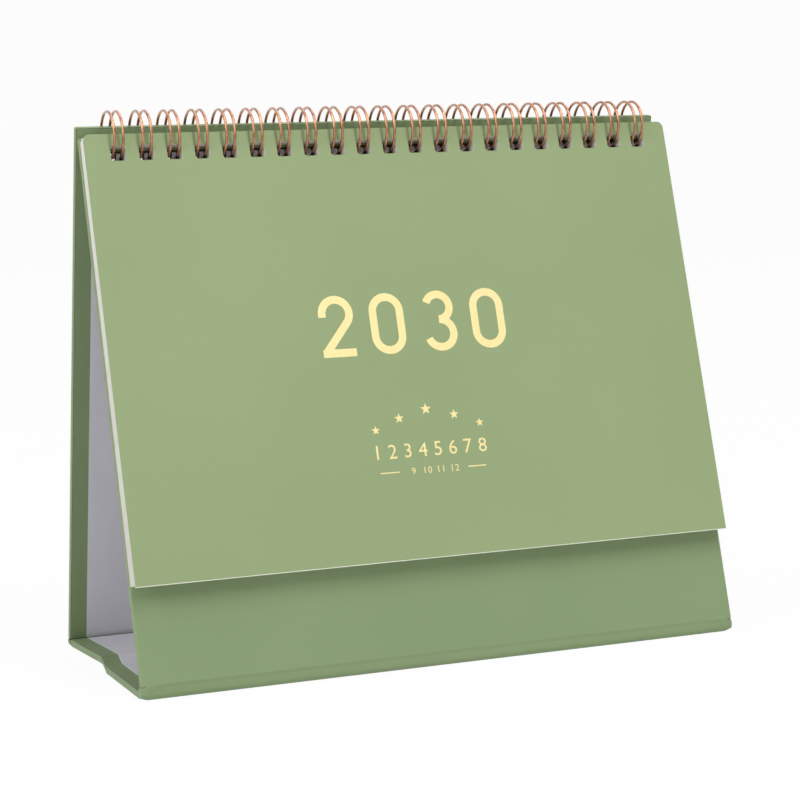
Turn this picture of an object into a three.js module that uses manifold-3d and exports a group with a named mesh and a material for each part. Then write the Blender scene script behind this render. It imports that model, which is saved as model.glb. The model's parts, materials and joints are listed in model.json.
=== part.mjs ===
// Easel desk calendar: a folding case of four wrapped boards, a cover sheet and twelve month
// leaves, held together by one continuous twin-loop wire.
// Millimetres, +Z up, the front faces -Y, the origin is the middle of the footprint.
import * as THREE from 'three';
import { mergeVertices } from 'three/addons/utils/BufferGeometryUtils.js';
import Module from 'manifold-3d';

const wasm = await Module();
wasm.setup();

// Whole case
const caseWidth = 189.5;
const loopCentreHeight = 156.3;
const frontTilt = THREE.MathUtils.degToRad(16.6);
const backTilt = THREE.MathUtils.degToRad(10.3);
const backTopAboveLoopCentre = 2.1;
const frontTopBelowLoopCentre = 0.5;
const frontFootHeight = 4.0;
const backFootHeight = 2.4;
const frontFaceOffset = 0.45;
const backFaceOffset = 5.15;

// Board, paper and glue
const boardThickness = 2.0;
const wrapThickness = 0.2;
const linerThickness = 0.15;
const glueLine = 0.05;
const linerMargin = 5.2;
const linerTopMargin = 3.5;

// Creases and the folding base
const creaseThickness = 0.4;
const creaseRadius = 1.1;
const creaseInset = 3.4;
const creaseAxisHeight = 0.9;
const creaseLap = 0.4;
const creaseGap = 0.15;
const baseDrop = 0.8;
const baseEndClear = 0.9;
const boardEndClear = 0.4;
const foldGap = 4.4;
const foldCentreY = -0.8;
const rearFoldRise = 2.0;
const frontFoldRise = 0;
const foldLip = 0.5;

// Cover sheet and month leaves
const sheetInset = 0.1;
const sheetHeight = 131;
const padTilt = THREE.MathUtils.degToRad(17.2);
const padFaceOffset = 4.14;
const sheetTopBelowLoopCentre = 0.6;
const sheetCornerRadius = 2;
const coverThickness = 0.4;
const leafShort = 0.8;
const leafThickness = 0.18;
const leafGap = 0.05;
const leafCount = 12;
const leafFan = THREE.MathUtils.degToRad(0.06);

// Twin-loop wire and the holes punched for it
const loopEndMargin = 8;
const loopPitch = 25.4 / 3;
const loopRadius = 7.1;
const wireDiameter = 0.86;
const twinSpacing = 2.58;
const rootAngle = THREE.MathUtils.degToRad(101);
const tipAngle = THREE.MathUtils.degToRad(113.5);
const wireSides = 6;
const arcSteps = 12;
const bendSteps = 4;
const holeSize = 4.5;
const holeCornerRadius = 0.8;
const punchOverrun = 1;

// Places worked out from the sizes above
const panelThickness = 2 * wrapThickness + 2 * glueLine + boardThickness;
const sheetWidth = caseWidth - 2 * sheetInset;
const loopCount = Math.floor((caseWidth - 2 * loopEndMargin) / loopPitch) + 1;
const holeXs = Array.from({ length: loopCount }, (_, i) => (i - (loopCount - 1) / 2) * loopPitch);
const footDrop = (tilt, offset, height) =>
  (loopCentreHeight + offset * Math.sin(tilt) - height) / Math.cos(tilt);
const frontDrop = footDrop(frontTilt, frontFaceOffset, frontFootHeight);
const backDrop = footDrop(backTilt, backFaceOffset, backFootHeight);
const frontReach = frontFaceOffset * Math.cos(frontTilt) + frontDrop * Math.sin(frontTilt);
const backReach = backFaceOffset * Math.cos(backTilt) + backDrop * Math.sin(backTilt);
const halfDepth = (frontReach + backReach) / 2;
const loopCentreY = frontReach - halfDepth;
const creaseAxisY = halfDepth - creaseInset;
const crossingDrop = (offset) => Math.sqrt(loopRadius ** 2 - offset ** 2);
const leafPitch = leafGap + leafThickness;
const padDepth = coverThickness + leafCount * leafPitch;
const padHoleDrop = (crossingDrop(padFaceOffset) + crossingDrop(padFaceOffset - padDepth)) / 2;
const frontHoleDrop = crossingDrop(frontFaceOffset - panelThickness / 2);
const backHoleDrop = crossingDrop(backFaceOffset - panelThickness / 2);

// Finishes
const finishes = {
  cover: new THREE.MeshStandardMaterial({ color: 0x9fb284, roughness: 0.62, metalness: 0 }),
  wrap: new THREE.MeshStandardMaterial({ color: 0x8aa47a, roughness: 0.6, metalness: 0 }),
  liner: new THREE.MeshStandardMaterial({ color: 0xa7a5ae, roughness: 0.9, metalness: 0 }),
  board: new THREE.MeshStandardMaterial({ color: 0x9a948a, roughness: 0.95, metalness: 0 }),
  paper: new THREE.MeshStandardMaterial({ color: 0xeeeae2, roughness: 0.85, metalness: 0 }),
  wire: new THREE.MeshStandardMaterial({ color: 0xb8693c, roughness: 0.28, metalness: 1 }),
};

// Solids from geometries, for cutting
function toSolid(geometry) {
  const bare = geometry.clone();
  bare.deleteAttribute('normal');
  bare.deleteAttribute('uv');
  const merged = mergeVertices(bare, 1e-4);
  return new wasm.Manifold(new wasm.Mesh({
    numProp: 3,
    vertProperties: new Float32Array(merged.attributes.position.array),
    triVerts: new Uint32Array(merged.index.array),
  }));
}

function toGeometry(solid) {
  const { vertProperties, triVerts } = solid.getMesh();
  const geometry = new THREE.BufferGeometry();
  geometry.setAttribute('position', new THREE.BufferAttribute(vertProperties, 3));
  geometry.setIndex(new THREE.BufferAttribute(triVerts, 1));
  geometry.computeVertexNormals();
  return geometry;
}

// A box between two corners, each an [x, y, z]
function blockSolid(low, high) {
  const size = high.map((value, axis) => value - low[axis]);
  const middle = high.map((value, axis) => (value + low[axis]) / 2);
  return toSolid(new THREE.BoxGeometry(...size).translate(...middle));
}

// Punched holes, one to a loop, as one solid that runs from lowY to highY.
// A radius rounds their corners.
function punches(drop, lowY, highY, radius = 0) {
  const half = holeSize / 2;
  return wasm.Manifold.union(holeXs.map((x) => {
    if (radius === 0) return blockSolid([x - half, lowY, -drop - half], [x + half, highY, -drop + half]);
    const inner = half - radius;
    const shape = new THREE.Shape();
    shape.absarc(x + inner, inner - drop, radius, 0, Math.PI / 2);
    shape.absarc(x - inner, inner - drop, radius, Math.PI / 2, Math.PI);
    shape.absarc(x - inner, -inner - drop, radius, Math.PI, 1.5 * Math.PI);
    shape.absarc(x + inner, -inner - drop, radius, 1.5 * Math.PI, 2 * Math.PI);
    return toSolid(layer(shape, lowY, highY - lowY, 3));
  }));
}

// A flat layer standing in XZ, its thickness running from nearY towards +Y
function layer(shape, nearY, thickness, curveSegments = 1) {
  return new THREE.ExtrudeGeometry(shape, { depth: thickness, bevelEnabled: false, curveSegments })
    .rotateX(Math.PI / 2)
    .translate(0, nearY + thickness, 0);
}

// Sheet outline: square at the foot, round at the two top corners
function sheetOutline(height) {
  const half = sheetWidth / 2;
  const top = -sheetTopBelowLoopCentre;
  const shape = new THREE.Shape();
  shape.moveTo(-half, top - height);
  shape.lineTo(half, top - height);
  shape.absarc(half - sheetCornerRadius, top - sheetCornerRadius, sheetCornerRadius, 0, Math.PI / 2);
  shape.absarc(sheetCornerRadius - half, top - sheetCornerRadius, sheetCornerRadius,
    Math.PI / 2, Math.PI);
  shape.closePath();
  return shape;
}

const calendar = new THREE.Group();

function place(parent, name, geometry, material) {
  const mesh = new THREE.Mesh(geometry, material);
  mesh.name = name;
  parent.add(mesh);
  return mesh;
}

function frameAt(y, z, tilt) {
  const frame = new THREE.Group();
  frame.position.set(0, y, z);
  frame.rotation.x = tilt;
  calendar.add(frame);
  return frame;
}

// Front and back panels: a board, the cover paper turned in round three of its edges, and a liner.
// outward is -1 for the front panel and 1 for the back one, along the panel's own Y.
function addPanel({ prefix, frame, outward, faceOffset, top, drop, holeDrop }) {
  const halfWidth = caseWidth / 2;
  const across = (fromFace, thickness) => {
    const near = outward * (faceOffset - fromFace);
    return outward < 0 ? near : near - thickness;
  };
  const boardDepth = wrapThickness + glueLine;
  const boardHalf = halfWidth - boardDepth;
  const boardTop = top - boardDepth;

  const span = (fromFace, thickness) => [across(fromFace, thickness), across(fromFace, thickness) + thickness];
  const [outerLow, outerHigh] = span(0, panelThickness);
  const holes = punches(holeDrop, outerLow - punchOverrun, outerHigh + punchOverrun);
  const sheet = (half, fromFace, thickness, low, high) => {
    const near = across(fromFace, thickness);
    return blockSolid([-half, near, low], [half, near + thickness, high]).subtract(holes);
  };
  const low = -drop + boardEndClear;
  place(frame, `${prefix}_board`, toGeometry(sheet(boardHalf, boardDepth, boardThickness, low, boardTop)),
    finishes.board);
  const linerDepth = boardDepth + boardThickness + glueLine;
  const linerHalf = halfWidth - linerMargin - glueLine;
  place(frame, `${prefix}_liner`,
    toGeometry(sheet(linerHalf, linerDepth, linerThickness, low, top - linerTopMargin - glueLine)),
    finishes.liner);

  const pocketDepth = boardThickness + 2 * glueLine;
  const [pocketLow, pocketHigh] = span(wrapThickness, pocketDepth);
  const [windowLow, windowHigh] = span(wrapThickness + glueLine, panelThickness);
  const pocketHalf = halfWidth - wrapThickness;
  const windowHalf = halfWidth - linerMargin;
  const footCut = -drop - punchOverrun;
  const body = blockSolid([-halfWidth, outerLow, -drop], [halfWidth, outerHigh, top]);
  const pocket = blockSolid([-pocketHalf, pocketLow, footCut], [pocketHalf, pocketHigh, top - wrapThickness]);
  const window = blockSolid([-windowHalf, windowLow, footCut], [windowHalf, windowHigh, top - linerTopMargin]);
  const wrap = body.subtract(pocket).subtract(window).subtract(holes);
  place(frame, `${prefix}_wrap`, toGeometry(wrap), finishes.wrap);
}

// The paper crease under a panel: it turns from the panel's face down to the table
function addCrease(name, outward, footHeight) {
  const outline = new THREE.Shape();
  const edge = outward * halfDepth;
  const inwards = -outward;
  const heel = edge + inwards * creaseRadius;
  const toe = outward * (creaseAxisY - creaseLap);
  const innerRadius = creaseRadius - creaseThickness;
  const top = footHeight - creaseGap;
  const turn = (radius, fromAngle, toAngle) => outline.absarc(heel, creaseRadius, radius, fromAngle, toAngle,
    fromAngle > toAngle);
  const wallAngle = outward < 0 ? Math.PI : 0;
  const floorAngle = outward < 0 ? 1.5 * Math.PI : -Math.PI / 2;
  outline.moveTo(edge, top);
  turn(creaseRadius, wallAngle, floorAngle);
  outline.lineTo(toe, 0);
  outline.lineTo(toe, creaseThickness);
  turn(innerRadius, floorAngle, wallAngle);
  outline.lineTo(edge + inwards * creaseThickness, top);
  outline.closePath();
  const strip = new THREE.ExtrudeGeometry(outline, { depth: caseWidth, bevelEnabled: false, curveSegments: 4 });
  strip.translate(0, 0, -caseWidth / 2);
  strip.applyMatrix4(new THREE.Matrix4().set(
    0, 0, 1, 0,
    1, 0, 0, 0,
    0, 1, 0, 0,
    0, 0, 0, 1,
  ));
  place(calendar, name, strip, finishes.wrap);
}

// One half of the base, from its crease to the middle fold, whose end stands foldRise higher.
// inwards is the way along Y from the crease to the fold.
function addBaseHalf(suffix, inwards, foldRise) {
  const foldDistance = creaseAxisY + inwards * foldCentreY - foldGap / 2;
  const foldTilt = Math.atan2(foldRise, foldDistance);
  const baseHalfLength = foldDistance / Math.cos(foldTilt);
  const frame = frameAt(-inwards * creaseAxisY, creaseAxisHeight, inwards * foldTilt);
  const halfWidth = caseWidth / 2;
  const along = (from, to) => (inwards > 0 ? [from, to] : [-to, -from]);
  const slab = (half, from, to, low, high) => {
    const [nearY, farY] = along(from, to);
    return blockSolid([-half, nearY, low], [half, farY, high]);
  };
  const boardLow = wrapThickness + glueLine - baseDrop;
  const boardHigh = boardLow + boardThickness;
  const boardFrom = baseEndClear + boardEndClear;
  const boardTo = baseHalfLength - foldLip;
  place(frame, `base_board_${suffix}`,
    toGeometry(slab(halfWidth - wrapThickness - glueLine, boardFrom, boardTo, boardLow, boardHigh)),
    finishes.board);
  place(frame, `base_liner_${suffix}`,
    toGeometry(slab(halfWidth - linerMargin - glueLine, baseEndClear, baseHalfLength,
      boardHigh + glueLine, boardHigh + glueLine + linerThickness)),
    finishes.liner);
  const topHeight = panelThickness - baseDrop;
  const whole = slab(halfWidth, baseEndClear, baseHalfLength, -baseDrop, topHeight);
  const past = baseHalfLength + punchOverrun;
  const pocket = slab(halfWidth - wrapThickness, 0, past, wrapThickness - baseDrop, topHeight - wrapThickness);
  const window = slab(halfWidth - linerMargin, 0, past, boardLow, topHeight + punchOverrun);
  place(frame, `base_wrap_${suffix}`, toGeometry(whole.subtract(pocket).subtract(window)), finishes.wrap);
}

// Cover sheet and month leaves, hung together on the loops and fanned a little towards the foot
function addPad() {
  const frame = frameAt(loopCentreY, loopCentreHeight, -padTilt);
  const outline = sheetOutline(sheetHeight);
  const leafOutline = sheetOutline(sheetHeight - leafShort);
  const padFrom = -padFaceOffset - punchOverrun;
  const padTo = padDepth - padFaceOffset + punchOverrun;
  const squares = punches(padHoleDrop, padFrom, padTo);
  const rounded = punches(padHoleDrop, padFrom, padTo, holeCornerRadius);
  const cover = toSolid(layer(outline, -padFaceOffset, coverThickness, 3));
  place(frame, 'cover_sheet', toGeometry(cover.subtract(rounded)), finishes.cover);
  for (let leaf = 0; leaf < leafCount; leaf += 1) {
    const nearY = -padFaceOffset + coverThickness + leafGap + leaf * leafPitch;
    const name = `month_leaf_${String(leaf + 1).padStart(2, '0')}`;
    const sheet = toSolid(layer(leafOutline, nearY, leafThickness, 3));
    const leafFrame = frameAt(loopCentreY, loopCentreHeight, (leaf + 1) * leafFan - padTilt);
    place(leafFrame, name, toGeometry(sheet.subtract(squares)), finishes.paper);
  }
}

// The wire's centre line, unrolled: across is X, turn is the angle below the front horizontal.
// Each finger goes up the front, over the top and round to its closed tip inside the case;
// a root joins it to the next finger.
function wireRoute() {
  const bendRadius = twinSpacing / 2;
  const bendTurn = bendRadius / loopRadius;
  const start = rootAngle - bendTurn;
  const end = tipAngle - 2 * Math.PI + bendTurn;
  const route = [];
  const add = (across, turn) => route.push({ across, turn });
  const bend = (across, turn, fromAngle, toAngle, steps) => {
    for (let step = 1; step < steps; step += 1) {
      const angle = THREE.MathUtils.lerp(fromAngle, toAngle, step / steps);
      add(across + bendRadius * Math.cos(angle), turn + bendTurn * Math.sin(angle));
    }
  };
  holeXs.forEach((x, finger) => {
    const left = x - bendRadius;
    const right = x + bendRadius;
    if (finger > 0) bend(left - bendRadius, start, Math.PI / 2, 0, bendSteps - 1);
    for (let step = 0; step <= arcSteps; step += 1) {
      add(left, THREE.MathUtils.lerp(start, end, step / arcSteps));
    }
    bend(x, end, Math.PI, 2 * Math.PI, bendSteps);
    for (let step = 0; step <= arcSteps; step += 1) {
      add(right, THREE.MathUtils.lerp(end, start, step / arcSteps));
    }
    if (finger < loopCount - 1) {
      bend(right + bendRadius, start, Math.PI, Math.PI / 2, bendSteps - 1);
      add(right + bendRadius, rootAngle);
      add(holeXs[finger + 1] - twinSpacing, rootAngle);
    }
  });
  return route;
}

function addWire() {
  const route = wireRoute();
  const outwards = route.map(({ turn }) => new THREE.Vector3(0, -Math.cos(turn), -Math.sin(turn)));
  const centres = route.map(({ across }, i) => outwards[i].clone().multiplyScalar(loopRadius).setX(across));
  const radius = wireDiameter / 2;
  const positions = [];
  centres.forEach((centre, i) => {
    const before = centres[Math.max(i - 1, 0)];
    const after = centres[Math.min(i + 1, centres.length - 1)];
    const forward = after.clone().sub(before).normalize();
    const sideways = forward.clone().cross(outwards[i]).normalize();
    for (let side = 0; side < wireSides; side += 1) {
      const angle = (side / wireSides) * 2 * Math.PI;
      const point = centre.clone()
        .addScaledVector(outwards[i], radius * Math.cos(angle))
        .addScaledVector(sideways, radius * Math.sin(angle));
      positions.push(point.x, point.y, point.z);
    }
  });
  const indices = [];
  const lastRing = (centres.length - 1) * wireSides;
  for (let ring = 0; ring < centres.length - 1; ring += 1) {
    for (let side = 0; side < wireSides; side += 1) {
      const here = ring * wireSides + side;
      const beside = ring * wireSides + ((side + 1) % wireSides);
      indices.push(here, beside, here + wireSides, beside, beside + wireSides, here + wireSides);
    }
  }
  for (let side = 1; side < wireSides - 1; side += 1) {
    indices.push(0, side + 1, side);
    indices.push(lastRing, lastRing + side, lastRing + side + 1);
  }
  const geometry = new THREE.BufferGeometry();
  geometry.setAttribute('position', new THREE.Float32BufferAttribute(positions, 3));
  geometry.setIndex(indices);
  geometry.computeVertexNormals();
  const frame = frameAt(loopCentreY, loopCentreHeight, 0);
  place(frame, 'twin_loop_wire', geometry, finishes.wire);
  console.log(`twin-loop wire: least gap to itself ${leastGap(route, centres).toFixed(2)} mm`);
}

// The closest that stretches of wire more than three turns of its diameter apart come to each other
function leastGap(route, centres) {
  const apart = [0];
  centres.forEach((centre, i) => {
    if (i > 0) apart.push(apart[i - 1] + centre.distanceTo(centres[i - 1]));
  });
  const nearLimit = 3 * wireDiameter;
  const window = 4 * (arcSteps + bendSteps);
  let least = Infinity;
  centres.forEach((centre, i) => {
    for (let j = i + 1; j < Math.min(i + window, centres.length); j += 1) {
      if (apart[j] - apart[i] > nearLimit) least = Math.min(least, centre.distanceTo(centres[j]));
    }
  });
  return least - wireDiameter;
}

addPanel({
  prefix: 'back',
  frame: frameAt(loopCentreY, loopCentreHeight, backTilt),
  outward: 1,
  faceOffset: backFaceOffset,
  top: backTopAboveLoopCentre,
  drop: backDrop,
  holeDrop: backHoleDrop,
});
addPanel({
  prefix: 'front',
  frame: frameAt(loopCentreY, loopCentreHeight, -frontTilt),
  outward: -1,
  faceOffset: frontFaceOffset,
  top: -frontTopBelowLoopCentre,
  drop: frontDrop,
  holeDrop: frontHoleDrop,
});
addCrease('back_crease', 1, backFootHeight);
addCrease('front_crease', -1, frontFootHeight);
addBaseHalf('rear', -1, rearFoldRise);
addBaseHalf('front', 1, frontFoldRise);
addPad();
addWire();

export default calendar;
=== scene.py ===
import json
import math

import bmesh
import bpy
from mathutils import Matrix, Vector


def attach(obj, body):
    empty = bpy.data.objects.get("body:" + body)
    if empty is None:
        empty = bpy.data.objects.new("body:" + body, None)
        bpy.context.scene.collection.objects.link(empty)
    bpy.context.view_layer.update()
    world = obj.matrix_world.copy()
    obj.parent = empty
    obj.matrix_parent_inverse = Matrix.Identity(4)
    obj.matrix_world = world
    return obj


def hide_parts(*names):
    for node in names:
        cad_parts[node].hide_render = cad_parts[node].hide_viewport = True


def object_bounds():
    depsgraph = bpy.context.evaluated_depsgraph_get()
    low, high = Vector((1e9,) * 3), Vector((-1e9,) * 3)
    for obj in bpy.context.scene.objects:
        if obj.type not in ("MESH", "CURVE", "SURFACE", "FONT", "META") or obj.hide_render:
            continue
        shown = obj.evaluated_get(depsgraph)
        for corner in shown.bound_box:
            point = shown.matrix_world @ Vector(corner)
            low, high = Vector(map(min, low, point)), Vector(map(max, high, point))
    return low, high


# the pieces and the camera are given in millimetres, the stage and its lamps in metres
mm = 0.001

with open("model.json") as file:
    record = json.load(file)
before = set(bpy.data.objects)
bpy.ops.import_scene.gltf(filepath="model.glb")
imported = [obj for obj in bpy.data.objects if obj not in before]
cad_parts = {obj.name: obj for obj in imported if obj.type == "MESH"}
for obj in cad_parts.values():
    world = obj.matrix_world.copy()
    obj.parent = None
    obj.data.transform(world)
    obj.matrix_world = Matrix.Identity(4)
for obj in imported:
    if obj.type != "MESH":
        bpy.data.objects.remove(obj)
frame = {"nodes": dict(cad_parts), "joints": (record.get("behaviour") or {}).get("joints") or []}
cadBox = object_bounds()
loopCentre = next(j["pos_m"] for j in frame["joints"] if j["name"] == "easel_fold")
print("frame loaded:", len(frame["nodes"]), "nodes")


# materials

noiseSpan = (0.3, 0.7)


def newMaterial(name, roughness, metallic=0.0):
    mat = bpy.data.materials.new(name)
    mat.use_nodes = True
    shader = mat.node_tree.nodes["Principled BSDF"]
    shader.inputs["Roughness"].default_value = roughness
    shader.inputs["Metallic"].default_value = metallic
    return mat, mat.node_tree.nodes, mat.node_tree.links, shader


def noiseAt(nodes, links, scale, detail, stretch=(1, 1, 1)):
    coords = nodes.new("ShaderNodeTexCoord")
    mapping = nodes.new("ShaderNodeMapping")
    mapping.inputs["Scale"].default_value = stretch
    noise = nodes.new("ShaderNodeTexNoise")
    noise.inputs["Scale"].default_value = scale
    noise.inputs["Detail"].default_value = detail
    links.new(coords.outputs["Object"], mapping.inputs["Vector"])
    links.new(mapping.outputs["Vector"], noise.inputs["Vector"])
    return noise


def colourFrom(nodes, links, source, shader, look, places):
    ramp = nodes.new("ShaderNodeValToRGB")
    for element, place, colour in zip(ramp.color_ramp.elements, places, (look["dark"], look["light"])):
        element.position = place
        element.color = (*colour, 1)
    links.new(source.outputs["Fac"], ramp.inputs["Fac"])
    links.new(ramp.outputs["Color"], shader.inputs["Base Color"])


def roughnessFrom(nodes, links, source, shader, low, high):
    spread = nodes.new("ShaderNodeMapRange")
    spread.inputs["From Min"].default_value = noiseSpan[0]
    spread.inputs["From Max"].default_value = noiseSpan[1]
    spread.inputs["To Min"].default_value = low
    spread.inputs["To Max"].default_value = high
    links.new(source.outputs["Fac"], spread.inputs["Value"])
    links.new(spread.outputs["Result"], shader.inputs["Roughness"])


def bumpFrom(nodes, links, source, shader, strength, distance):
    bump = nodes.new("ShaderNodeBump")
    bump.inputs["Strength"].default_value = strength
    bump.inputs["Distance"].default_value = distance
    links.new(source.outputs["Fac"], bump.inputs["Height"])
    links.new(bump.outputs["Normal"], shader.inputs["Normal"])


paper = {"cloudDetail": 2.0, "cloudPlaces": (0.35, 0.65), "grainDetail": 6.0, "grainDepth": 0.05,
         "roughnessSpread": 0.05, "coatRoughness": 0.45}


def paperMaterial(name, look):
    mat, nodes, links, shader = newMaterial(name, look["roughness"])
    cloud = noiseAt(nodes, links, look["cloudScale"], paper["cloudDetail"])
    grain = noiseAt(nodes, links, look["grainScale"], paper["grainDetail"],
                    look.get("grainStretch", (1, 1, 1)))
    colourFrom(nodes, links, cloud, shader, look, paper["cloudPlaces"])
    spread = paper["roughnessSpread"]
    roughnessFrom(nodes, links, grain, shader, look["roughness"] - spread, look["roughness"] + spread)
    bumpFrom(nodes, links, grain, shader, look["grain"], paper["grainDepth"] * mm)
    shader.inputs["Specular IOR Level"].default_value = look["gloss"]
    shader.inputs["Coat Weight"].default_value = look.get("coat", 0.0)
    shader.inputs["Coat Roughness"].default_value = paper["coatRoughness"]
    return mat


coverLook = {"dark": (0.318, 0.407, 0.202), "light": (0.334, 0.425, 0.213), "roughness": 0.55,
             "cloudScale": 14, "grainScale": 2600, "grain": 0.10, "gloss": 0.30, "coat": 0.05}
# the wrapping paper is the cover card's green made darker; part of that darkness is painted shade, the
# shade that falls on the panels and base
wrapShadeLook = {"dark": (0.262, 0.353, 0.183), "light": (0.280, 0.373, 0.196), "roughness": 0.52,
            "cloudScale": 16, "grainScale": 2100, "grain": 0.16, "gloss": 0.18, "coat": 0.03}
linerLook = {"dark": (0.770, 0.755, 0.810), "light": (0.810, 0.795, 0.850), "roughness": 0.85,
             "cloudScale": 30, "grainScale": 1700, "grain": 0.25, "grainStretch": (1, 1, 3), "gloss": 0.10}
leafLook = {"dark": (0.900, 0.875, 0.825), "light": (0.935, 0.915, 0.865), "roughness": 0.8,
            "cloudScale": 20, "grainScale": 2400, "grain": 0.15, "gloss": 0.15}
# the board colour is kept near black, so that the walls of the punched holes paint the shade inside the
# holes
boardHoleShadeLook = {"dark": (0.05, 0.042, 0.040), "light": (0.10, 0.088, 0.080), "roughness": 0.92,
             "cloudScale": 900, "grainScale": 1500, "grain": 0.5, "grainStretch": (1, 1, 6), "gloss": 0.05}
coreLook = {"dark": (0.84, 0.86, 0.72), "light": (0.90, 0.92, 0.79), "roughness": 0.85,
            "cloudScale": 40, "grainScale": 2400, "grain": 0.2, "gloss": 0.10}

coverCard = paperMaterial("sage cover card", coverLook)
shadedWrapPaper = paperMaterial("sage wrapping paper with painted shade", wrapShadeLook)
linerPaper = paperMaterial("grey lining paper", linerLook)
leafPaper = paperMaterial("leaf paper", leafLook)
boardAndHoleShade = paperMaterial("board with painted hole shade", boardHoleShadeLook)
cardCore = paperMaterial("pale card core", coreLook)


copperLook = {"dark": (0.26, 0.090, 0.030), "light": (0.56, 0.260, 0.135), "roughness": 0.24, "metal": 1.0,
              "mottleScale": 420, "mottleDetail": 4.0, "shine": (0.13, 0.24), "coat": 1.0,
              "coatRoughness": 0.16}
foilLook = {"dark": (0.93, 0.78, 0.35), "light": (0.97, 0.83, 0.41), "roughness": 0.45, "metal": 0.25,
            "mottleScale": 800, "mottleDetail": 3.0, "shine": (0.38, 0.50)}
inkLook = {"dark": (0.10, 0.15, 0.07), "light": (0.14, 0.20, 0.10), "roughness": 0.7, "metal": 0.0,
           "mottleScale": 1500, "mottleDetail": 3.0}


def mottledMaterial(name, look):
    mat, nodes, links, shader = newMaterial(name, look["roughness"], look["metal"])
    noise = noiseAt(nodes, links, look["mottleScale"], look["mottleDetail"])
    colourFrom(nodes, links, noise, shader, look, noiseSpan)
    if "shine" in look:
        roughnessFrom(nodes, links, noise, shader, *look["shine"])
    if "coat" in look:
        shader.inputs["Coat Weight"].default_value = look["coat"]
        shader.inputs["Coat Roughness"].default_value = look["coatRoughness"]
    return mat


copperWire = mottledMaterial("copper coated wire", copperLook)
goldFoil = mottledMaterial("pale gold foil", foilLook)
leafInk = mottledMaterial("leaf printing ink", inkLook)
print("materials made")


# helpers that put a piece in the frame

def slopeAt(tilt):
    return Matrix.Translation(loopCentre) @ Matrix.Rotation(math.radians(tilt), 4, "X")


def addPiece(name, data, body, material, place=None, replaced=()):
    piece = bpy.data.objects.new(name, data)
    bpy.context.scene.collection.objects.link(piece)
    if place is not None:
        piece.matrix_world = place
    data.materials.append(material)
    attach(piece, body)
    if replaced:
        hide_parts(*replaced)
    return piece


edgeFinish = {"smoothBelow": 35, "bevelFrom": 40, "bevelSteps": 3}


def smoothByAngle(mesh):
    mesh.shade_smooth()
    mesh.set_sharp_from_angle(angle=math.radians(edgeFinish["smoothBelow"]))


def meshFrom(form, name):
    mesh = bpy.data.meshes.new(name)
    form.to_mesh(mesh)
    form.free()
    return mesh


def bevelled(piece, width, limit="ANGLE"):
    bevel = piece.modifiers.new("rounded edges", "BEVEL")
    bevel.width = width
    bevel.segments = edgeFinish["bevelSteps"]
    bevel.limit_method = limit
    bevel.angle_limit = math.radians(edgeFinish["bevelFrom"])
    bevel.harden_normals = True


# wrapped panels: cover paper pulled round a board, open where the holes are punched

panels = {
    "halfWidth": 94.75, "thickness": 2.3, "edgeRadius": 0.55, "roundedFrom": 0.7,
    "holeCount": 21, "holePitch": 25.4 / 3, "holeSize": 4.6,
    "front": {"tilt": -16.6, "top": -0.5, "bottom": -159.06, "outer": -0.45, "inwards": 1,
              "holeDrop": 7.055},
    "back": {"tilt": 10.3, "top": 2.1, "bottom": -157.36, "outer": 5.15, "inwards": -1,
             "holeDrop": 5.933},
}
holeXs = [(i - (panels["holeCount"] - 1) / 2) * panels["holePitch"] for i in range(panels["holeCount"])]


def punchedSlab(name, part):
    halfWidth, halfHole, drop = panels["halfWidth"], panels["holeSize"] / 2, part["holeDrop"]
    xs = [-halfWidth]
    for x in holeXs:
        xs += [x - halfHole, x + halfHole]
    xs.append(halfWidth)
    zs = [part["bottom"], -drop - halfHole, -drop + halfHole, part["top"]]
    form = bmesh.new()
    roundness = form.edges.layers.float.new("bevel_weight_edge")
    layers = []
    for y in sorted((part["outer"], part["outer"] + part["inwards"] * panels["thickness"])):
        layers.append([[form.verts.new((x * mm, y * mm, z * mm)) for z in zs] for x in xs])
    near, far = layers
    columns, rows = len(xs) - 1, len(zs) - 1
    for i in range(columns):
        for k in range(rows):
            if k == 1 and i % 2 == 1:  # a punched hole, lined with the near-black board colour that paints the shade inside the hole
                corners = [(i, k), (i + 1, k), (i + 1, k + 1), (i, k + 1)]
                for (a, low), (b, high) in zip(corners, corners[1:] + corners[:1]):
                    side = form.faces.new((near[b][high], near[a][low], far[a][low], far[b][high]))
                    side.material_index = 1
                continue
            form.faces.new((near[i][k], near[i + 1][k], near[i + 1][k + 1], near[i][k + 1]))
            form.faces.new((far[i][k + 1], far[i + 1][k + 1], far[i + 1][k], far[i][k]))
    for i in range(columns):
        form.faces.new((near[i + 1][0], near[i][0], far[i][0], far[i + 1][0]))
        form.faces.new((near[i][rows], near[i + 1][rows], far[i + 1][rows], far[i][rows]))
    for k in range(rows):
        form.faces.new((near[0][k], near[0][k + 1], far[0][k + 1], far[0][k]))
        form.faces.new((near[columns][k + 1], near[columns][k], far[columns][k], far[columns][k + 1]))
    bmesh.ops.recalc_face_normals(form, faces=form.faces)
    for face in form.faces:
        face.smooth = True
    for edge in form.edges:
        punched = any(face.material_index == 1 for face in edge.link_faces)
        edge.smooth = not punched
        turned = edge.calc_face_angle(0) > panels["roundedFrom"]
        edge[roundness] = 1.0 if turned and not punched else 0.0
    return meshFrom(form, name)


for end in ("front", "back"):
    part = panels[end]
    slab = punchedSlab(end + " covering", part)
    covering = addPiece(end + "Covering", slab, end + "_panel", shadedWrapPaper,
                        slopeAt(part["tilt"]), [end + "_wrap"])
    bevelled(covering, panels["edgeRadius"] * mm, limit="WEIGHT")
    # the walls of the punched holes take the near-black board colour: painted shade for the dark inside of
    # the holes
    slab.materials.append(boardAndHoleShade)
print("wrapped panels made")


# folding base: two wrapped boards and the bare paper that bridges the fold

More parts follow.
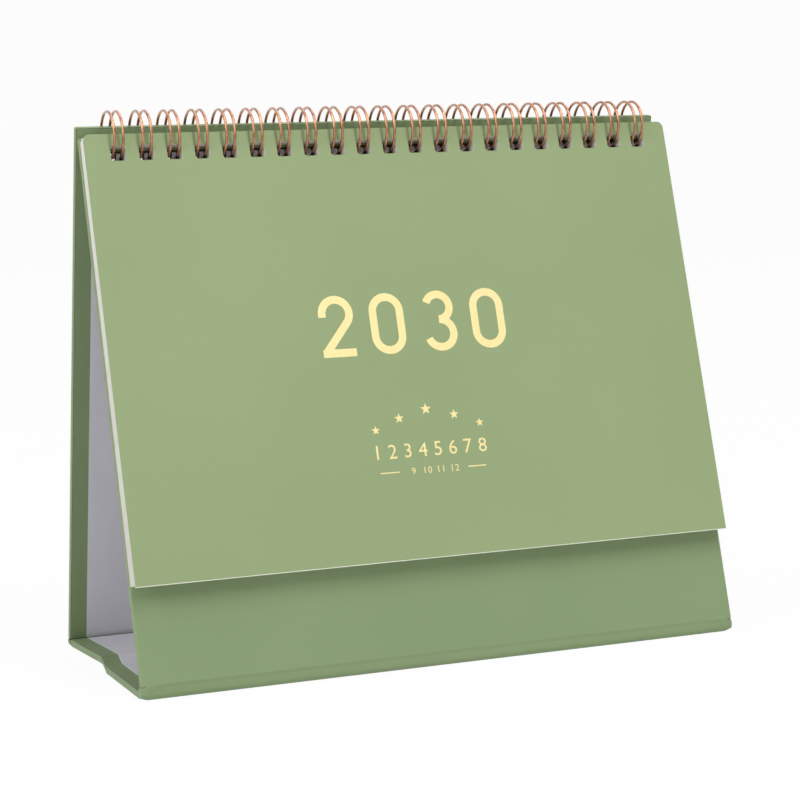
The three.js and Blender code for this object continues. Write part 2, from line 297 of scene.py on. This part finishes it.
base = {
    "axisY": 36.137, "axisZ": 0.9, "near": -0.6, "under": -0.8, "thickness": 2.3, "cuts": 7,
    "front": {"side": -1, "reach": 33.14, "tilt": 0.0},
    "rear": {"side": 1, "reach": 34.79, "tilt": -3.30},
}
bridge = {
    "lap": 0.7, "steps": 8, "pinchLow": 0.55, "pinchHigh": 0.45, "pinchSpread": 0.7,
    "inset": 0.02, "narrower": 0.12, "liningSink": 0.01, "liningLift": 0.17, "liningHalf": 89.55,
    "shares": {"front": (0.0, 0.496), "rear": (0.504, 1.0)},
}


def hingePlace(half):
    pivot = Vector((0, half["side"] * base["axisY"], base["axisZ"])) * mm
    return Matrix.Translation(pivot) @ Matrix.Rotation(math.radians(half["tilt"]), 4, "X")


def baseSlab(name, half):
    halfWidth = panels["halfWidth"] * mm
    ends = sorted((-half["side"] * base["near"], -half["side"] * half["reach"]))
    form = bmesh.new()
    bmesh.ops.create_cube(form, size=1)
    size = (2 * halfWidth, (ends[1] - ends[0]) * mm, base["thickness"] * mm)
    middle = (0, sum(ends) / 2 * mm, (base["under"] + base["thickness"] / 2) * mm)
    bmesh.ops.scale(form, vec=size, verts=form.verts)
    bmesh.ops.translate(form, vec=middle, verts=form.verts)
    across = [e for e in form.edges if abs(e.verts[0].co.x - e.verts[1].co.x) > halfWidth]
    bmesh.ops.subdivide_edges(form, edges=across, cuts=base["cuts"])
    mesh = meshFrom(form, name)
    mesh.shade_smooth()
    return mesh


for end in ("front", "rear"):
    half = base[end]
    covering = addPiece(end + "BaseCovering", baseSlab(end + " base covering", half), "base_" + end,
                        shadedWrapPaper, hingePlace(half), ["base_wrap_" + end])
    bevelled(covering, panels["edgeRadius"] * mm)


def foldEnd(half, height):
    reach = half["reach"] - bridge["lap"]
    return hingePlace(half) @ Vector((0, -half["side"] * reach * mm, height * mm))


def bridgeForm(name, low, high, halfWidth, startShare, endShare):
    form = bmesh.new()
    rows = []
    for step in range(bridge["steps"] + 1):
        share = startShare + (endShare - startShare) * step / bridge["steps"]
        ease = share * share * (3 - 2 * share)
        pinch = math.sin(math.pi * share) ** bridge["pinchSpread"]
        ends = []
        for height, draw in ((low, bridge["pinchLow"]), (high, -bridge["pinchHigh"])):
            near = foldEnd(base["front"], height)
            far = foldEnd(base["rear"], height)
            ends.append((near.y + (far.y - near.y) * share,
                         near.z + (far.z - near.z) * ease + pinch * draw * mm))
        rows.append([form.verts.new((side * halfWidth * mm, y, z))
                     for side, (y, z) in ((-1, ends[0]), (1, ends[0]), (1, ends[1]), (-1, ends[1]))])
    for before, after in zip(rows, rows[1:]):
        for i in range(4):
            k = (i + 1) % 4
            form.faces.new((before[i], before[k], after[k], after[i]))
    form.faces.new(rows[0][::-1])
    form.faces.new(rows[-1])
    bmesh.ops.recalc_face_normals(form, faces=form.faces)
    mesh = meshFrom(form, name)
    smoothByAngle(mesh)
    return mesh


# each half of the bridge rides on its own half of the base, from one share of the way to another
for end, shares in bridge["shares"].items():
    low, high = base["under"], base["under"] + base["thickness"]
    web = bridgeForm(end + " fold paper", low + bridge["inset"], high - bridge["inset"],
                     panels["halfWidth"] - bridge["narrower"], *shares)
    addPiece(end + "Bridge", web, "base_" + end, shadedWrapPaper)
    lining = bridgeForm(end + " fold lining", high - bridge["liningSink"], high + bridge["liningLift"],
                        bridge["liningHalf"], *shares)
    addPiece(end + "BridgeLining", lining, "base_" + end, linerPaper)
print("folding base made")


# creases: the wrapping paper runs off a panel's face, over a shallow joint and under the base
crease = {
    "thickness": 0.2, "lap": 5.5, "lapShares": (1.0, 0.7, 0.45, 0.3), "lift": 0.015, "edgeInset": 0.02,
    # the joint's points: height over the foot, then the way out of the face or the share of the dip
    "offFace": [(0.9, 0.0075), (0.5, 0.005), (0.25, -0.05)], "intoDip": [(-0.05, 0.85), (-0.35, 1.0)],
    "dip": 0.20, "outOfDip": 0.45, "rollGap": 0.06, "jointSteps": 3,
    "roll": 1.7, "rollBelow": 1.2, "rollSteps": 8, "tail": 0.35,
    "tuckFrom": 84, "tuckColumns": 24, "columns": 12, "inset": 0.55, "insetFrom": -0.2, "insetOver": 0.8,
    "endLift": 0.6, "endSpread": 1.2, "endOut": 0.01, "endGap": 0.02, "endTop": 0.3,
    "front": {"side": -1, "foot": 4.0, "lean": 16.6, "body": "front_panel", "node": "front_crease"},
    "back": {"side": 1, "foot": 2.4, "lean": 10.3, "body": "back_panel", "node": "back_crease"},
}
# how the paper is tucked at both ends: a swelling, a pinch and a pleat that runs aslant
tucks = [
    {"out": 0.34, "fromEnd": 2.8, "spread": 1.7, "rise": -0.5, "tall": 0.9, "slant": 0},
    {"out": -0.8, "fromEnd": 0.2, "spread": 0.7, "rise": 0.1, "tall": 0.6, "slant": 0},
    {"out": 0.20, "fromEnd": 5.2, "spread": 0.8, "rise": 0.1, "tall": 0.9, "slant": 1.6},
]
halfDepth = max(cadBox[1].y, -cadBox[0].y) / mm


def creaseLine(part):
    slope = math.tan(math.radians(part["lean"]))
    edge = halfDepth - crease["edgeInset"]
    foot, dip, steps = part["foot"], crease["dip"], crease["jointSteps"]
    radius = min(crease["roll"], foot - crease["rollBelow"])

    def onFace(z, out):
        return (edge - (z - foot) * slope + out, z)

    line = [onFace(foot + crease["lap"] * share, crease["lift"]) for share in crease["lapShares"]]
    joint = [onFace(foot + rise, out) for rise, out in crease["offFace"]]
    joint += [(edge - dip * share, foot + rise) for rise, share in crease["intoDip"]]
    joint.append((edge - dip * crease["outOfDip"], (joint[-1][1] + radius) / 2))
    joint.append((edge, radius + crease["rollGap"]))
    for start, end in zip(joint, joint[1:]):
        line += [tuple(Vector(start).lerp(end, i / steps)) for i in range(steps)]
    line.append(joint[-1])
    for i in range(1, crease["rollSteps"] + 1):
        angle = math.radians(90 * i / crease["rollSteps"])
        line.append((edge - radius + radius * math.cos(angle), radius - radius * math.sin(angle)))
    line.append((base["axisY"] - crease["tail"], 0.0))
    return line


def hump(value, middle, spread):
    return math.exp(-((value - middle) / spread) ** 2)


def tuckedOut(x, rise):
    fromEnd = panels["halfWidth"] - abs(x)
    out = 0
    for fold in tucks:
        across = hump(fromEnd + fold["slant"] * rise, fold["fromEnd"], fold["spread"])
        out += fold["out"] * across * hump(rise, fold["rise"], fold["tall"])
    return out


def creasePoint(part, x, y, z):
    rise = z - part["foot"]
    inset = crease["inset"] * min(1, max(0, (rise - crease["insetFrom"]) / crease["insetOver"]))
    nearEnd = hump(panels["halfWidth"] - abs(x), 0, crease["endSpread"])
    endLift = crease["endLift"] * nearEnd * max(0, -rise / part["foot"])
    across = x * (1 - inset / panels["halfWidth"])
    return (across * mm, part["side"] * (y + tuckedOut(x, rise)) * mm, (z + endLift) * mm)


def creaseColumns():
    inner, outer, count = crease["tuckFrom"], panels["halfWidth"], crease["tuckColumns"]
    ends = [inner + (outer - inner) * i / count for i in range(count + 1)]
    between = [inner * (2 * i / crease["columns"] - 1) for i in range(1, crease["columns"])]
    return [-x for x in reversed(ends)] + between + ends


def addCrease(part):
    form = bmesh.new()
    xs = creaseColumns()
    rows = [[form.verts.new(creasePoint(part, x, y, z)) for x in xs] for y, z in creaseLine(part)]
    for before, after in zip(rows, rows[1:]):
        for i in range(len(xs) - 1):
            form.faces.new((before[i], before[i + 1], after[i + 1], after[i]))
    if part["side"] < 0:
        bmesh.ops.reverse_faces(form, faces=form.faces)
    mesh = meshFrom(form, part["node"])
    mesh.shade_smooth()
    piece = addPiece(part["body"] + "Crease", mesh, part["body"], shadedWrapPaper,
                     replaced=[part["node"]])
    thick = piece.modifiers.new("paper thickness", "SOLIDIFY")
    thick.thickness = crease["thickness"] * mm
    thick.offset = -1


# the paper is folded in at each end of a crease, so its hollow is closed there
def addCreaseEnds(part):
    form = bmesh.new()
    inner = base["axisY"] - base["near"] + crease["endGap"]
    highest = part["foot"] - crease["endTop"]
    rim = [(y, z) for y, z in creaseLine(part) if y > inner and z < highest]
    for end in (-1, 1):
        outer = [creasePoint(part, end * panels["halfWidth"], y, z) for y, z in rim]
        x = end * (panels["halfWidth"] + crease["endOut"]) * mm
        inside = part["side"] * inner * mm
        corners = [(x, inside, outer[0][2])]
        corners += [(x, y, z) for _, y, z in outer]
        corners.append((x, inside, outer[-1][2]))
        form.faces.new([form.verts.new(corner) for corner in corners])
    mesh = meshFrom(form, part["node"] + " ends")
    addPiece(part["body"] + "CreaseEnds", mesh, part["body"], shadedWrapPaper)


for part in (crease["front"], crease["back"]):
    addCrease(part)
    addCreaseEnds(part)
print("creases made")


# twin-loop wire: one length of round wire, bent into a finger for each hole

wire = {"radius": 7.1, "thickness": 0.86, "spacing": 2.58, "root": 101.0, "tip": 113.5,
        "arcSteps": 44, "bendSteps": 12, "roundness": 3}


def wireLine():
    bendRadius = wire["spacing"] / 2
    bendTurn = bendRadius / wire["radius"]
    start = math.radians(wire["root"]) - bendTurn
    end = math.radians(wire["tip"] - 360) + bendTurn
    line = []

    def bend(x, turn, fromAngle, toAngle):
        for step in range(1, wire["bendSteps"]):
            angle = math.radians(fromAngle + (toAngle - fromAngle) * step / wire["bendSteps"])
            line.append((x + bendRadius * math.cos(angle), turn + bendTurn * math.sin(angle)))

    def leg(x, fromTurn, toTurn):
        for step in range(wire["arcSteps"] + 1):
            line.append((x, fromTurn + (toTurn - fromTurn) * step / wire["arcSteps"]))

    for finger, x in enumerate(holeXs):
        if finger > 0:
            bend(x - 2 * bendRadius, start, 90, 0)
        leg(x - bendRadius, start, end)
        bend(x, end, 180, 360)
        leg(x + bendRadius, end, start)
        if finger < len(holeXs) - 1:
            bend(x + 2 * bendRadius, start, 180, 90)
            line.append((x + 2 * bendRadius, math.radians(wire["root"])))
            line.append((holeXs[finger + 1] - 2 * bendRadius, math.radians(wire["root"])))
    return line


def wireCurve():
    curve = bpy.data.curves.new("twin loop wire", "CURVE")
    curve.dimensions = "3D"
    curve.bevel_depth = wire["thickness"] / 2 * mm
    curve.bevel_resolution = wire["roundness"]
    curve.use_fill_caps = True
    line = wireLine()
    spline = curve.splines.new("POLY")
    spline.points.add(len(line) - 1)
    for point, (x, turn) in zip(spline.points, line):
        y = -wire["radius"] * math.cos(turn)
        z = -wire["radius"] * math.sin(turn)
        point.co = (x * mm, y * mm, z * mm, 1)
    spline.use_smooth = True
    return curve


addPiece("twinLoops", wireCurve(), "wire", copperWire, Matrix.Translation(loopCentre),
         ["twin_loop_wire"])
print("wire made")


# print on the cover: plain foil numerals, five small stars and two short rules

cover = {"tilt": -17.2, "face": 4.14, "halfWidth": 94.6, "foot": 131.6,
         "printLift": 0.02, "strokeLift": 0.006, "cutEdge": 0.2, "cutLift": 0.012}
numerals = {"digits": "2030", "centres": [-24.66, -8.57, 8.20, 24.20], "middle": 60.9,
            "halfWidth": 4.3, "halfHeight": 8.05, "stroke": 2.4, "arcSteps": 28}
two = {"hookDrop": 0.9, "hookEnd": -38, "heel": (0.1, 0.2), "footLeft": 1.0, "footRight": 0.9}
three = {"upperShare": 0.475, "start": 158, "end": -160}
stars = {"places": [(-16.88, 92.71, 1.4), (-9.03, 89.58, 1.6), (-0.15, 87.34, 1.8),
                    (8.72, 89.53, 1.6), (16.68, 92.55, 1.4)], "points": 5, "inner": 0.42}
smallRow = {"numbers": range(1, 9), "left": -17.3, "right": 16.6, "middle": 99.3, "height": 4.2}
lastRow = {"numbers": range(9, 13), "left": -6.6, "right": 6.6, "middle": 105.5, "height": 2.0}
rules = {"spans": [(-17.15, -11.06), (11.03, 16.87)], "middle": 105.5, "thickness": 0.36}
smallDigits = {"step": 0.80, "curveSteps": 3}


def arc(x, z, radius, fromAngle, toAngle):
    steps = numerals["arcSteps"]
    angles = [math.radians(fromAngle + (toAngle - fromAngle) * i / steps) for i in range(steps + 1)]
    return [(x + radius * math.cos(a), z + radius * math.sin(a)) for a in angles]


def strokesOf(digit):
    w, h = numerals["halfWidth"], numerals["halfHeight"]
    if digit == "0":
        ring = arc(0, h - w, w, 0, 180) + arc(0, w - h, w, 180, 360)
        return [ring + [ring[0]]]
    if digit == "2":
        hook = [(-w, h - w - two["hookDrop"])] + arc(0, h - w, w, 180, two["hookEnd"])
        heel = (-w + two["heel"][0], -h + two["heel"][1])
        return [hook + [heel], [(-w - two["footLeft"], -h), (w + two["footRight"], -h)]]
    upper, lower = h * three["upperShare"], h * (1 - three["upperShare"])
    return [arc(0, h - upper, upper, three["start"], -90), arc(0, lower - h, lower, 90, three["end"])]


def ribbon(form, line, width, centreX, centreZ, y):
    closed = line[0] == line[-1]
    count = len(line)
    pairs = []
    for i, (x, z) in enumerate(line):
        before = line[i - 1] if i > 0 else (line[-2] if closed else line[0])
        after = line[i + 1] if i < count - 1 else (line[1] if closed else line[-1])
        ahead = Vector((after[0] - before[0], after[1] - before[1])).normalized()
        side = Vector((-ahead.y, ahead.x)) * width / 2
        pairs.append([form.verts.new(((centreX + x + s * side.x) * mm, y * mm,
                                      (centreZ + z + s * side.y) * mm)) for s in (1, -1)])
    for a, b in zip(pairs, pairs[1:]):
        form.faces.new((a[0], b[0], b[1], a[1]))


def faceForward(form):
    for face in form.faces:
        face.normal_update()
        if face.normal.y > 0:
            face.normal_flip()


def starPoints(x, drop, radius):
    points = []
    for i in range(2 * stars["points"]):
        reach = radius if i % 2 == 0 else radius * stars["inner"]
        angle = math.radians(90 + 180 * i / stars["points"])
        points.append((x + reach * math.cos(angle), -drop + reach * math.sin(angle)))
    return points


glyphCache = {}


def glyph(character):
    if character not in glyphCache:
        curve = bpy.data.curves.new("glyph", "FONT")
        curve.body = character
        curve.size = 1
        curve.resolution_u = smallDigits["curveSteps"]
        holder = bpy.data.objects.new("glyph", curve)
        mesh = bpy.data.meshes.new_from_object(holder)
        points = [(v.co.x, v.co.y) for v in mesh.vertices]
        polygons = [list(p.vertices) for p in mesh.polygons]
        left, right = min(p[0] for p in points), max(p[0] for p in points)
        low, high = min(p[1] for p in points), max(p[1] for p in points)
        glyphCache[character] = (points, polygons, (left, right, low, high))
        bpy.data.objects.remove(holder)
        bpy.data.curves.remove(curve)
        bpy.data.meshes.remove(mesh)
    return glyphCache[character]


def addGlyph(form, character, centreX, middleZ, height, y):
    points, polygons, (left, right, low, high) = glyph(character)
    grow = height / (high - low)
    verts = [form.verts.new(((centreX + (x - (left + right) / 2) * grow) * mm, y * mm,
                             (middleZ + (z - (low + high) / 2) * grow) * mm)) for x, z in points]
    for polygon in polygons:
        form.faces.new([verts[i] for i in polygon])


def addNumber(form, number, centreX, middleZ, height, y):
    text = str(number)
    step = height * smallDigits["step"]
    for i, character in enumerate(text):
        addGlyph(form, character, centreX + (i - (len(text) - 1) / 2) * step, middleZ, height, y)


def addBar(form, low, high, y):
    corners = [(low[0], low[1]), (high[0], low[1]), (high[0], high[1]), (low[0], high[1])]
    form.faces.new([form.verts.new((x * mm, y * mm, z * mm)) for x, z in corners])


def coverPrint():
    form = bmesh.new()
    y = -cover["face"] - cover["printLift"]
    for digit, centreX in zip(numerals["digits"], numerals["centres"]):
        for order, line in enumerate(strokesOf(digit)):
            strokeY = y - order * cover["strokeLift"]  # strokes that cross stay a hair apart
            ribbon(form, line, numerals["stroke"], centreX, -numerals["middle"], strokeY)
    for x, drop, radius in stars["places"]:
        form.faces.new([form.verts.new((a * mm, y * mm, b * mm)) for a, b in starPoints(x, drop, radius)])
    for row in (smallRow, lastRow):
        count = len(row["numbers"])
        for i, number in enumerate(row["numbers"]):
            x = row["left"] + (row["right"] - row["left"]) * i / (count - 1)
            addNumber(form, number, x, -row["middle"], row["height"], y)
    low, high = -rules["middle"] - rules["thickness"] / 2, -rules["middle"] + rules["thickness"] / 2
    for left, right in rules["spans"]:
        addBar(form, (left, low), (right, high), y)
    faceForward(form)
    return meshFrom(form, "cover print")


addPiece("coverFoil", coverPrint(), "cover", goldFoil, slopeAt(cover["tilt"]))


# the card's core shows as a pale line where its foot is cut
def coverCutEdge():
    form = bmesh.new()
    low = (-cover["halfWidth"], -cover["foot"])
    high = (cover["halfWidth"], -cover["foot"] + cover["cutEdge"])
    addBar(form, low, high, -cover["face"] - cover["cutLift"])
    faceForward(form)
    return meshFrom(form, "cover cut edge")


addPiece("coverCutEdge", coverCutEdge(), "cover", cardCore, slopeAt(cover["tilt"]))
print("cover print made")


# print on the leaves: a big month number and a plain grid of days

leaf = {"count": 12, "firstFace": 3.69, "pitch": 0.23, "fan": 0.06, "lift": 0.012,
        "days": [31, 28, 31, 30, 31, 30, 31, 31, 30, 31, 30, 31], "firstColumn": 1,
        "columns": 7, "left": -52, "columnStep": 21.5, "top": 34, "rowStep": 15.2, "dayHeight": 4.6,
        "monthPlace": (-78, -30), "monthHeight": 17, "ruleThickness": 0.25}


def leafPrint(month, firstColumn):
    form = bmesh.new()
    y = -leaf["firstFace"] + month * leaf["pitch"] - leaf["lift"]
    addNumber(form, month + 1, *leaf["monthPlace"], leaf["monthHeight"], y)
    for day in range(leaf["days"][month]):
        row, column = divmod(firstColumn + day, leaf["columns"])
        addNumber(form, day + 1, leaf["left"] + column * leaf["columnStep"],
                  -leaf["top"] - row * leaf["rowStep"], leaf["dayHeight"], y)
    rowCount = (firstColumn + leaf["days"][month] - 1) // leaf["columns"] + 1
    half = leaf["ruleThickness"] / 2
    leftEnd = leaf["left"] - leaf["columnStep"] / 2
    rightEnd = leftEnd + leaf["columns"] * leaf["columnStep"]
    for row in range(rowCount + 1):
        z = -leaf["top"] + leaf["rowStep"] / 2 - row * leaf["rowStep"]
        addBar(form, (leftEnd, z - half), (rightEnd, z + half), y)
    faceForward(form)
    return meshFrom(form, f"leaf print {month + 1}")


column = leaf["firstColumn"]
for month in range(leaf["count"]):
    tilt = cover["tilt"] + (month + 1) * leaf["fan"]
    addPiece(f"leafPrint{month + 1}", leafPrint(month, column), f"leaf_{month + 1:02d}", leafInk,
             slopeAt(tilt))
    column = (column + leaf["days"][month]) % leaf["columns"]
print("leaf print made")


# finishes of the pieces that come from the frame

finishes = {"cover": coverCard, "leaf": leafPaper, "liner": linerPaper, "board": boardAndHoleShade,
            "wrap": shadedWrapPaper, "crease": shadedWrapPaper, "wire": copperWire}
for name, node in frame["nodes"].items():
    material = next(finish for word, finish in finishes.items() if word in name)
    node.data.materials.clear()
    node.data.materials.append(material)
    smoothByAngle(node.data)

# the card is printed on its front alone, so its back and its cut edges show the pale core
sheetNormal = Matrix.Rotation(math.radians(cover["tilt"]), 3, "X") @ Vector((0, -1, 0))
card = frame["nodes"]["cover_sheet"].data
card.materials.append(cardCore)
printedFrom = 0.9
for polygon in card.polygons:
    polygon.material_index = 0 if polygon.normal.dot(sheetNormal) > printedFrom else 1


# floor, light and camera

stage = {"size": 6.0, "turn": 1.2, "turnSteps": 16, "white": (0.86, 0.86, 0.86), "roughness": 0.9,
         "whiteShare": 0.96, "daylight": 0.22, "lampTarget": (0, 0, 0.08)}
lamps = {
    "key": {"from": (0.35, -1.05, 1.95), "size": (0.35, 1.6), "power": 24.5},
    "fill": {"from": (-1.5, -1.1, 0.7), "size": (1.4, 1.4), "power": 5},
    "side": {"from": (-1.7, -0.15, 1.1), "size": (1.2, 1.2), "power": 12},
    "top": {"from": (0.2, 0.4, 1.7), "size": (1.2, 1.2), "power": 6},
}


def whiteToCamera(nodes, links, lit, share):
    path = nodes.new("ShaderNodeLightPath")
    first = nodes.new("ShaderNodeMath")
    first.operation = "MAXIMUM"
    second = nodes.new("ShaderNodeMath")
    second.operation = "MAXIMUM"
    scaled = nodes.new("ShaderNodeMath")
    scaled.operation = "MULTIPLY"
    scaled.inputs[1].default_value = share
    links.new(path.outputs["Is Camera Ray"], first.inputs[0])
    links.new(path.outputs["Is Glossy Ray"], first.inputs[1])
    links.new(first.outputs[0], second.inputs[0])
    links.new(path.outputs["Is Transmission Ray"], second.inputs[1])
    links.new(second.outputs[0], scaled.inputs[0])
    mix = nodes.new("ShaderNodeMixShader")
    links.new(scaled.outputs[0], mix.inputs["Fac"])
    links.new(lit, mix.inputs[1])
    return mix


def addFloor():
    half, turn = stage["size"] / 2, stage["turn"]
    profile = [(-half, 0.0), (half - turn, 0.0)]
    for i in range(1, stage["turnSteps"] + 1):
        angle = math.radians(90 * i / stage["turnSteps"])
        profile.append((half - turn + turn * math.sin(angle), turn - turn * math.cos(angle)))
    profile.append((half, half))
    form = bmesh.new()
    rows = [[form.verts.new((x, y, z)) for x in (-half, half)] for y, z in profile]
    for before, after in zip(rows, rows[1:]):
        form.faces.new((before[0], before[1], after[1], after[0]))
    mesh = meshFrom(form, "studio sweep")
    mesh.shade_smooth()
    mat, nodes, links, shader = newMaterial("white sweep", stage["roughness"])
    shader.inputs["Base Color"].default_value = (*stage["white"], 1)
    glow = nodes.new("ShaderNodeEmission")
    glow.inputs["Color"].default_value = (1, 1, 1, 1)
    glow.inputs["Strength"].default_value = 1.0
    mix = whiteToCamera(nodes, links, shader.outputs[0], stage["whiteShare"])
    links.new(glow.outputs[0], mix.inputs[2])
    links.new(mix.outputs[0], nodes["Material Output"].inputs["Surface"])
    mesh.materials.append(mat)
    sweep = bpy.data.objects.new("studioSweep", mesh)
    bpy.context.scene.collection.objects.link(sweep)


def addWorld():
    world = bpy.data.worlds.new("soft daylight")
    bpy.context.scene.world = world
    world.use_nodes = True
    nodes, links = world.node_tree.nodes, world.node_tree.links
    soft = nodes["Background"]
    soft.inputs["Color"].default_value = (1, 1, 1, 1)
    soft.inputs["Strength"].default_value = stage["daylight"]
    white = nodes.new("ShaderNodeBackground")
    white.inputs["Color"].default_value = (1, 1, 1, 1)
    white.inputs["Strength"].default_value = 1.0
    mix = whiteToCamera(nodes, links, soft.outputs[0], 1.0)
    links.new(white.outputs[0], mix.inputs[2])
    links.new(mix.outputs[0], nodes["World Output"].inputs["Surface"])


def addLamps():
    target = Vector(stage["lampTarget"])
    for name, lamp in lamps.items():
        light = bpy.data.lights.new(name, "AREA")
        light.shape = "RECTANGLE"
        light.size, light.size_y = lamp["size"]
        light.energy = lamp["power"]
        holder = bpy.data.objects.new(name + "Lamp", light)
        holder.location = lamp["from"]
        aim = target - Vector(lamp["from"])
        holder.rotation_euler = aim.to_track_quat("-Z", "Y").to_euler()
        bpy.context.scene.collection.objects.link(holder)


camera = {
    "place": (-272.16, -650.54, 161.32), "right": (0.92066, -0.38987, -0.01980),
    "up": (0.06441, 0.10168, 0.99273), "ahead": (0.38502, 0.91524, -0.11872),
    "focal": 2325.35, "centre": (399.70, 390.97), "frame": 800, "sensor": 36, "clip": 50,
}


def addCamera():
    lens = bpy.data.cameras.new("photo view")
    lens.sensor_width = camera["sensor"]
    lens.lens = camera["focal"] / camera["frame"] * camera["sensor"]
    lens.shift_x = (camera["frame"] / 2 - camera["centre"][0]) / camera["frame"]
    lens.shift_y = (camera["centre"][1] - camera["frame"] / 2) / camera["frame"]
    lens.clip_start = camera["clip"] * mm
    holder = bpy.data.objects.new("photoView", lens)
    right, up = Vector(camera["right"]).normalized(), Vector(camera["up"]).normalized()
    back = -Vector(camera["ahead"]).normalized()
    turn = Matrix((right, up, back)).transposed().to_4x4()
    holder.matrix_world = Matrix.Translation(Vector(camera["place"]) * mm) @ turn
    bpy.context.scene.collection.objects.link(holder)
    bpy.context.scene.camera = holder


addFloor()
addWorld()
addLamps()
addCamera()
bpy.context.scene.view_settings.view_transform = "Standard"
print("stage, light and camera set")
